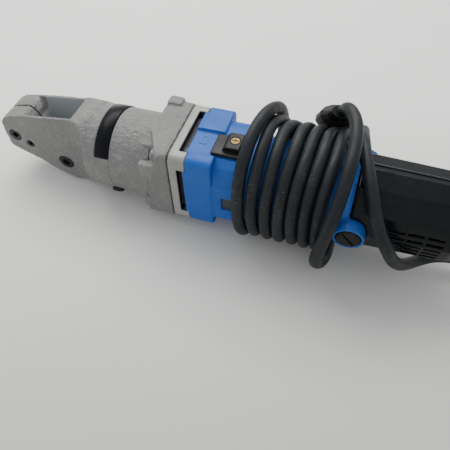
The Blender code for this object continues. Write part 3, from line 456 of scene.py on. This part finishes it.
def table_top():
    """Pale board with painted light: it gets lighter away from the camera, as if lit from the far side."""
    look = Look("pale_table")
    patches = look.range(look.noise(6.0, 5.0, 0.6), 0.35, 0.7)
    far = look.mix(patches, (0.93, 0.928, 0.908), (0.9, 0.898, 0.878))
    # painted light falloff: darker towards the near side, lighter away from the camera
    split = look.tree.nodes.new("ShaderNodeSeparateXYZ")
    look.plug(split.inputs[0], look.place)
    painted_light_falloff = look.math("ADD", split.outputs[1], look.math("MULTIPLY", split.outputs[0], -0.35))
    base = look.mix(look.range(painted_light_falloff, -0.4, 0.16), (0.5, 0.497, 0.48), far)
    look.set(Base_Color=base, Specular_IOR_Level=0.3)
    look.set(Roughness=look.range(look.noise(14.0), 0.3, 0.7, 0.5, 0.65))
    look.bump(look.noise(260.0, 3.0), 0.0002, 0.15)
    return look.material


MATERIALS = {}


def make_materials():
    black = (0.006, 0.0065, 0.0075)
    grey = (0.016, 0.0165, 0.018)
    MATERIALS.update({
        "silver": silver_paint(),
        "blue_housing": blue_plastic(),
        "cord": cord_rubber(),
        "tail": tail_plastic(),
        "floor": table_top(),
        "band": plain("band_gloss", (0.004, 0.005, 0.008), (0.008, 0.009, 0.012), (0.28, 0.4),
                      grain=400.0, depth=0.00015, specular=0.12),
        # painted highlight: the tail's ridges are a little lighter than the tail
        "ridge": plain("ridge_painted_highlight", (0.012, 0.0135, 0.016), (0.035, 0.038, 0.042), (0.22, 0.34),
                       depth=0.00006, specular=0.6),
        "tool_steel": plain("tool_steel", (0.25, 0.25, 0.27), (0.36, 0.34, 0.32), (0.25, 0.45),
                            metallic=1.0, grain=700.0, depth=0.00006),
        "ground_steel": plain("ground_steel", (0.42, 0.43, 0.45), (0.5, 0.49, 0.47), (0.2, 0.36),
                              metallic=1.0, depth=0.00004),
        "black_screw": plain("black_oxide", (0.012, 0.0125, 0.014), (0.03, 0.03, 0.032), (0.3, 0.48),
                             metallic=0.25, grain=1200.0, depth=0.00008, specular=0.35,
                             edge=(0.16, 0.16, 0.17)),
        "bronze": plain("bronze", (0.5, 0.32, 0.15), (0.35, 0.22, 0.1), (0.3, 0.5), metallic=1.0),
        "black_rubber": plain("black_rubber", black, grey, (0.5, 0.72), grain=700.0, depth=0.00015,
                              edge=(0.07, 0.07, 0.07)),
        "pale_housing": pale_aluminium(),
        "black_plastic": plain("black_plastic", black, grey, (0.34, 0.5), grain=1500.0, specular=0.25,
                               edge=(0.05, 0.05, 0.055)),
        "lamination": plain("lamination", (0.2, 0.2, 0.22), (0.12, 0.12, 0.13), (0.4, 0.6), metallic=0.8),
        "copper": plain("copper", (0.65, 0.3, 0.16), (0.45, 0.2, 0.1), (0.25, 0.45), metallic=1.0),
        "brass": plain("brass", (0.26, 0.18, 0.075), (0.15, 0.1, 0.045), (0.38, 0.55),
                       metallic=0.9, depth=0.00008, edge=(0.4, 0.31, 0.17)),
        "carbon": plain("carbon", (0.04, 0.04, 0.042), (0.08, 0.08, 0.08), (0.5, 0.7)),
        "plated_pin": plain("nickel", (0.6, 0.59, 0.56), (0.45, 0.44, 0.42), (0.2, 0.35), metallic=1.0),
        "window_plate": plain("grey_plate", (0.028, 0.033, 0.036), (0.045, 0.05, 0.053), (0.35, 0.5)),
    })


# ---------------------------------------------------------------- shells

SLOTS = {part["node"]: part["material_slot"] for part in frame["record"]["subparts"]}
BODIES = {node: body for body, members in frame["record"]["behaviour"]["bodies"].items() for node in members}


def dress_cad():
    """Gives each CAD node the finished material of its slot."""
    for node, name in SLOTS.items():
        NODES[node].data.materials.clear()
        NODES[node].data.materials.append(MATERIALS[name])


def baked(shell):
    """Makes the shell's modifiers part of its mesh."""
    done = bpy.data.meshes.new_from_object(shell.evaluated_get(bpy.context.evaluated_depsgraph_get()))
    shell.modifiers.clear()
    shell.data = done
    return done


def relax(shell, passes, group=""):
    step = shell.modifiers.new("relax", "SMOOTH")
    step.factor = 0.5
    step.iterations = passes
    step.vertex_group = group


def skin(node, name, voxel, passes, zone=None, extra=0, look=None):
    """A dense copy of a CAD node with its edges rounded over, as a casting or a moulding has them.

    It is smoothed in a number of passes, with extra ones where zone(point) is true."""
    shell = add(name, NODES[node].data.copy())
    remesh = shell.modifiers.new("remesh", "REMESH")
    remesh.mode = "VOXEL"
    remesh.voxel_size = voxel * MM
    remesh.use_smooth_shade = True
    relax(shell, passes)
    mesh = baked(shell)
    if zone:
        group = shell.vertex_groups.new(name="zone")
        group.add([v.index for v in mesh.vertices if zone(v.co)], 1.0, "REPLACE")
        relax(shell, extra, "zone")
        mesh = baked(shell)
    mesh.materials.clear()
    mesh.materials.append(look or MATERIALS[SLOTS[node]])
    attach(shell, BODIES[node])
    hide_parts(node)
    return shell


def onto_radius(shell, radius, low_x, high_x, inward, outward):
    """Moves points that lie between radius - inward and radius + outward onto the radius."""
    for vertex in shell.data.vertices:
        x = vertex.co.x / MM - SHIFT_X
        distance = math.hypot(vertex.co.y, vertex.co.z) / MM
        if low_x < x < high_x and radius - inward < distance < radius + outward:
            vertex.co.y *= radius / distance
            vertex.co.z *= radius / distance


def true_round(shell, radius, span):
    """Pulls points that nearly lie on a turned surface onto it."""
    onto_radius(shell, radius, *span, inward=0.45, outward=0.45)


def clear_bore(shell, radius, span):
    """Opens a bore that smoothing has narrowed."""
    onto_radius(shell, radius, *span, inward=1.5, outward=0.0)


def make_ridges():
    """Glossy ridges where the faces of the tail meet, above the vents, coloured a little lighter than the tail
    as a painted highlight.
    """
    for side, name in ((1, "far"), (-1, "near")):
        for tilt, level in RIDGE_TILTS:
            turn = math.radians(tilt)
            curve = bpy.data.curves.new(f"tail_ridge_{level}_{name}", "CURVE")
            curve.dimensions = "3D"
            curve.bevel_depth = RIDGE_R * MM
            curve.use_fill_caps = True
            line = curve.splines.new("POLY")
            line.points.add(1)
            for point, (x, radius) in zip(line.points, RIDGE_ENDS):
                reach = radius - RIDGE_R
                point.co = (*world(x, side * reach * math.sin(turn), reach * math.cos(turn)), 1.0)
            curve.materials.append(MATERIALS["ridge"])
            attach(add(f"tail_ridge_{level}_{name}", curve), "tool_body")


def make_return_spring():
    """A copy of the return spring on the tool body. The real spring closes up as the ram goes forward, but this
    copy keeps its shape.
    """
    spring = add("return_spring_wire", NODES["return_spring"].data.copy())
    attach(spring, "tool_body")
    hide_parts("return_spring")
    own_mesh(spring)


def weather(shell, depth, size, keep=None):
    """Waves the surface a little, as a sand casting is."""
    mesh = shell.data
    moves = []
    for vertex in mesh.vertices:
        place = vertex.co / (size * MM)
        push = noise.fractal(place, 0.8, 2.1, 3) * depth * MM
        moves.append(Vector() if keep and keep(vertex.co) else vertex.normal * push)
    for vertex, move in zip(mesh.vertices, moves):
        vertex.co += move


def in_window(point):
    """True in the jaw window of the head."""
    x = point.x / MM - SHIFT_X
    return abs(point.y) < (WINDOW_HALF + WINDOW_LIP) * MM and WINDOW_X[0] < x < WINDOW_X[1]


def bridge(builder, first, second):
    """Closes two outlines of as many points with a ring of faces."""
    for i in range(len(first)):
        j = (i + 1) % len(first)
        builder.faces.new((first[i], first[j], second[j], second[i]))


def lathe(name, profile, segments, node, look=None):
    """Turns a closed (x, radius) profile round the tool's axis."""
    builder = bmesh.new()
    rings = []
    for x, radius in profile:
        points = []
        for i in range(segments):
            angle = math.tau * i / segments
            points.append(builder.verts.new(world(x, radius * math.cos(angle), radius * math.sin(angle))))
        rings.append(points)
    for first, second in zip(rings, rings[1:] + rings[:1]):
        bridge(builder, first, second)
    return finish_piece(name, builder, node, look)


def finish_piece(name, builder, node, look=None, body="tool_body", bevel=0.0):
    """Makes a smooth-shaded piece from a built mesh. It stands for a CAD node if one is named."""
    bmesh.ops.recalc_face_normals(builder, faces=builder.faces)
    mesh = bpy.data.meshes.new(name)
    builder.to_mesh(mesh)
    builder.free()
    mesh.materials.append(look or MATERIALS[SLOTS[node]])
    for face in mesh.polygons:
        face.use_smooth = True
    made = add(name, mesh)
    if bevel:
        step = made.modifiers.new("bevel", "BEVEL")
        step.width = bevel * MM
        step.segments = 3
        step.limit_method = "ANGLE"
    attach(made, body)
    if node:
        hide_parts(node)
    return made


def make_band():
    """The glossy band: an arc of many steps, its ends square and its corners rounded."""
    low_x, high_x = BAND_X
    inner, outer = COLLAR_R - 1.1, COLLAR_R + 0.7
    section = [(low_x, inner), (low_x, outer - BAND_CORNER), (low_x + BAND_CORNER, outer),
               (high_x - BAND_CORNER, outer), (high_x, outer - BAND_CORNER), (high_x, inner)]
    start = math.asin(BAND_END_Z / COLLAR_R)
    builder = bmesh.new()
    rings = []
    for i in range(BAND_STEPS + 1):
        angle = start + (math.pi - 2 * start) * i / BAND_STEPS
        places = [world(x, r * math.cos(angle), r * math.sin(angle)) for x, r in section]
        rings.append([builder.verts.new(place) for place in places])
    for first, second in zip(rings, rings[1:]):
        bridge(builder, first, second)
    builder.faces.new(rings[0])
    builder.faces.new(rings[-1])
    finish_piece("band_strip", builder, "collar_band")


def rounded_bar(name, low, high, look, bevel, body="tool_body"):
    """A block between two corners, with rounded edges."""
    builder = bmesh.new()
    size = [high[k] - low[k] for k in range(3)]
    middle = world(*[(high[k] + low[k]) / 2 for k in range(3)])
    made = bmesh.ops.create_cube(builder, size=1.0)["verts"]
    bmesh.ops.scale(builder, vec=[s * MM for s in size], verts=made)
    bmesh.ops.translate(builder, vec=middle, verts=made)
    return finish_piece(name, builder, None, look, body, bevel)


def make_marks():
    """Small raised marks and plates of the motor housing, and dark bars on the switch's screw, painted shade
    standing for its cross recess.
    """
    blue = MATERIALS["blue_housing"]
    rounded_bar("on_mark", (19.0, -11.6, 36.6), (25.6, -10.0, 37.5), blue, 0.35)
    rounded_bar("off_mark_stem", (19.5, -2.0, 36.6), (25.0, -1.0, 37.4), blue, 0.3)
    # painted shade: dark bars stand for the shade in the screw's cross recess
    for name, low, high in (("recess_shade_long", (51.5, -10.2, 44.6), (52.5, -5.8, 45.03)),
                            ("recess_shade_cross", (49.8, -8.5, 44.6), (54.2, -7.5, 45.03))):
        rounded_bar(name, low, high, MATERIALS["black_rubber"], 0.1, "switch")
    rounded_bar("off_mark_foot", (19.5, -5.0, 36.6), (20.6, -1.0, 37.4), blue, 0.3)
    for side, name in ((-1, "near"), (1, "far")):
        low_y, high_y = sorted(side * y for y in PLATE_Y)
        low, high = (47.7, low_y, -13.8), (58.0, high_y, 1.3)
        rounded_bar(f"window_plate_{name}", low, high, MATERIALS["window_plate"], 0.2)


def make_fins():
    """Narrow upright fin above each brush holder."""
    inner, outer = FIN_R
    outline = [(outer, angle) for angle in FIN_ANGLES] + [(inner, angle) for angle in reversed(FIN_ANGLES)]
    for side, name in ((-1, "near"), (1, "far")):
        builder = bmesh.new()
        ends = []
        for x in FIN_X:
            end = []
            for radius, angle in outline:
                turn = math.radians(angle)
                place = world(x, side * radius * math.cos(turn), radius * math.sin(turn))
                end.append(builder.verts.new(place))
            ends.append(end)
        bridge(builder, *ends)
        for end in ends:
            builder.faces.new(end)
        finish_piece(f"fin_{name}", builder, None, MATERIALS["blue_housing"], bevel=0.4)


def make_seam():
    """Paint that bridges the joint between the head and the hydraulic casting."""
    low, high = SEAM_X
    inner, outer = COLLAR_R - 2.0, COLLAR_R - 0.25
    profile = [(low, inner), (low, outer), (high, outer), (high, inner)]
    lathe("painted_seam", profile, 96, None, MATERIALS["silver"])


def make_webs():
    """Cast webs that run the barrel out into the sides of the flange."""
    for side, name in ((-1, "near"), (1, "far")):
        low_y, high_y = sorted((side * WEB_LOW[1], side * WEB_HIGH[1]))
        low, high = (WEB_LOW[0], low_y, WEB_LOW[2]), (WEB_HIGH[0], high_y, WEB_HIGH[2])
        web = rounded_bar(f"flange_web_{name}", low, high, MATERIALS["silver"], 1.4)
        web.modifiers["bevel"].segments = 4


def rounded_square(half, radius):
    """Outline of a square with rounded corners, as (y, z) points."""
    inner = half - radius
    points = []
    for quarter, (u, v) in enumerate(((inner, inner), (-inner, inner), (-inner, -inner), (inner, -inner))):
        for i in range(CORNER_STEPS + 1):
            turn = math.radians(90 * quarter + 90 * i / CORNER_STEPS)
            points.append((u + radius * math.cos(turn), v + radius * math.sin(turn)))
    return points


def make_gasket_lip():
    """Edge of the gear housing that the gasket is squeezed against."""
    low, high = LIP_X
    builder = bmesh.new()
    loops = []
    for x, square in ((low, LIP_INNER), (low, LIP_OUTER), (high, LIP_OUTER), (high, LIP_INNER)):
        loops.append([builder.verts.new(world(x, y, z)) for y, z in rounded_square(*square)])
    for first, second in zip(loops, loops[1:] + loops[:1]):
        bridge(builder, first, second)
    finish_piece("gasket_lip", builder, None, MATERIALS["pale_housing"])


def make_guard():
    """Ribbed rubber cord guard."""
    bore = CORD_D / 2 + 0.45
    profile = [(251.2, bore), (251.2, 10.3), (257.4, 10.3), (257.4, 7.0),
               (262.6, 7.0), (262.6, 10.4), (264.8, 10.4)]
    for rib in range(GUARD_RIBS):
        x = GUARD_RIB_X + GUARD_PITCH * rib
        outer = GUARD_R - GUARD_TAPER * rib
        profile += [(x, outer - 1.0), (x + 0.9, outer - 1.0), (x + 1.3, outer), (x + 2.6, outer)]
    profile += [(291.4, 7.5), (292.0, 7.0), (292.0, bore)]
    lathe("guard_sleeve", profile, 48, "cord_guard")


# ---------------------------------------------------------------- mains lead

def eased(stops, angle):
    """A value at an angle between (angle, value) stops that fall, with no kink at the stops."""
    for (high, first), (low, second) in zip(stops, stops[1:]):
        if angle >= low:
            share = min(max((high - angle) / (high - low), 0.0), 1.0)
            return first + (second - first) * share * share * (3 - 2 * share)
    return stops[-1][1]


def coil_point(x, radius, angle):
    """A point of the cord round the tool, which the table holds up underneath."""
    turn = math.radians(angle)
    return (x, radius * math.cos(turn), max(radius * math.sin(turn), COIL_FLOOR))


def coil_points():
    """The wound turns: each comes up the near side, goes over the top and steps along the far side."""
    first_x, first_r = LEAD_ROUTE[-1][0], math.hypot(*LEAD_ROUTE[-1][1:])
    points = []
    for angle in range(-16, -90, -COIL_STEP):
        x = eased(((4, first_x), (-90, TURN_X[0][0])), angle)
        points.append(coil_point(x, eased(((4, first_r), (-70, COIL_R)), angle), angle))
    for number, (bottom, low, top) in enumerate(TURN_X):
        last = number + 1 == len(TURN_X)
        following = END_ROUTE[0][0] if last else TURN_X[number + 1][0]
        stops = ((270, bottom), (217, bottom), (157, low), (85, top), (5, following), (-90, following))
        for angle in range(264, 10 if last else -90, -COIL_STEP):
            radius = COIL_R + COIL_WAVER * math.sin(0.05 * angle + 2.1 * number)
            if number == 0:
                radius += FIRST_LIFT * max(math.cos(math.radians(1.4 * (angle - 95))), 0.0)
            if last:
                radius = eased(((90, COIL_R), (2, LOOSE_R), (-90, LOOSE_R)), angle)
            points.append(coil_point(eased(stops, angle), radius, angle))
    return points


def make_cord():
    """The mains lead, one cord from the guard to the plug."""
    route = list(LEAD_ROUTE) + coil_points() + list(END_ROUTE)
    curve = bpy.data.curves.new("mains_cord", "CURVE")
    curve.dimensions = "3D"
    curve.bevel_depth = CORD_D / 2 * MM
    curve.bevel_resolution = 6
    curve.resolution_u = 5
    curve.use_fill_caps = True
    line = curve.splines.new("BEZIER")
    line.bezier_points.add(len(route) - 1)
    for target, point in zip(line.bezier_points, route):
        target.co = world(*point)
        target.handle_left_type = target.handle_right_type = "AUTO"
    curve.materials.append(MATERIALS["cord"])
    cord = add("mains_cord", curve)
    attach(cord, "tool_body")
    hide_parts("cord_lead", "cord_coil", "cord_end")
    plug = skin("plug_body", "plug_moulding", voxel=0.5, passes=3)


# ---------------------------------------------------------------- assembly

def in_flare(point):
    """True on the outside of the head where its flat sides run out into the round collar."""
    x = point.x / MM - SHIFT_X
    far_out = math.hypot(point.y, point.z) > FLARE_INNER_R * MM
    return FLARE_X[0] < x < FLARE_X[1] and far_out and not in_window(point)


def make_head():
    head = skin("head_casting", "head_shell", voxel=0.8, passes=5, zone=in_flare, extra=30)
    for span in HEAD_COLLARS:
        true_round(head, COLLAR_R, span)
    weather(head, 0.3, 4.5, in_window)
    clear_bore(head, RAM_BORE_R, RAM_BORE_X)
    clear_bore(head, CYLINDER_BORE_R, CYLINDER_BORE_X)


def make_pump_casting():
    casting = skin("pump_casting", "casting_shell", voxel=0.8, passes=5)
    true_round(casting, COLLAR_R, CASTING_COLLAR)
    weather(casting, 0.35, 4.0)


def make_motor_housing():
    motor = skin("motor_housing", "motor_shell", voxel=0.8, passes=2)
    true_round(motor, MOTOR_R, MOTOR_X)
    true_round(motor, MOTOR_END_R, MOTOR_END_X)


def make_small_shells():
    """The other mouldings and screws whose rounded edges show."""
    skin("tail_housing", "tail_shell", voxel=0.7, passes=4, look=MATERIALS["tail"])
    skin("gear_housing", "gear_shell", voxel=0.7, passes=2)
    skin("switch_knob", "switch_slide", voxel=0.35, passes=2)
    skin("switch_screw", "switch_screw_head", voxel=0.16, passes=1)
    for node in ("nose_clamp_screw", "guide_screw", "blade_set_screw", "release_valve_knob"):
        skin(node, f"{node}_turned", voxel=0.3, passes=2)
    for side in ("near", "far"):
        skin(f"brush_cap_{side}", f"brush_cap_{side}_moulding", voxel=0.35, passes=2)
    for number in range(1, 5):
        skin(f"flange_bolt_{number}", f"flange_bolt_{number}_painted", voxel=0.4, passes=3)


def main():
    make_materials()
    make_camera()
    make_light()
    make_floor()
    dress_cad()
    make_cord()
    make_head()
    make_pump_casting()
    make_motor_housing()
    make_small_shells()
    make_band()
    make_return_spring()
    make_ridges()
    make_seam()
    make_webs()
    make_gasket_lip()
    make_guard()
    make_marks()
    make_fins()


main()
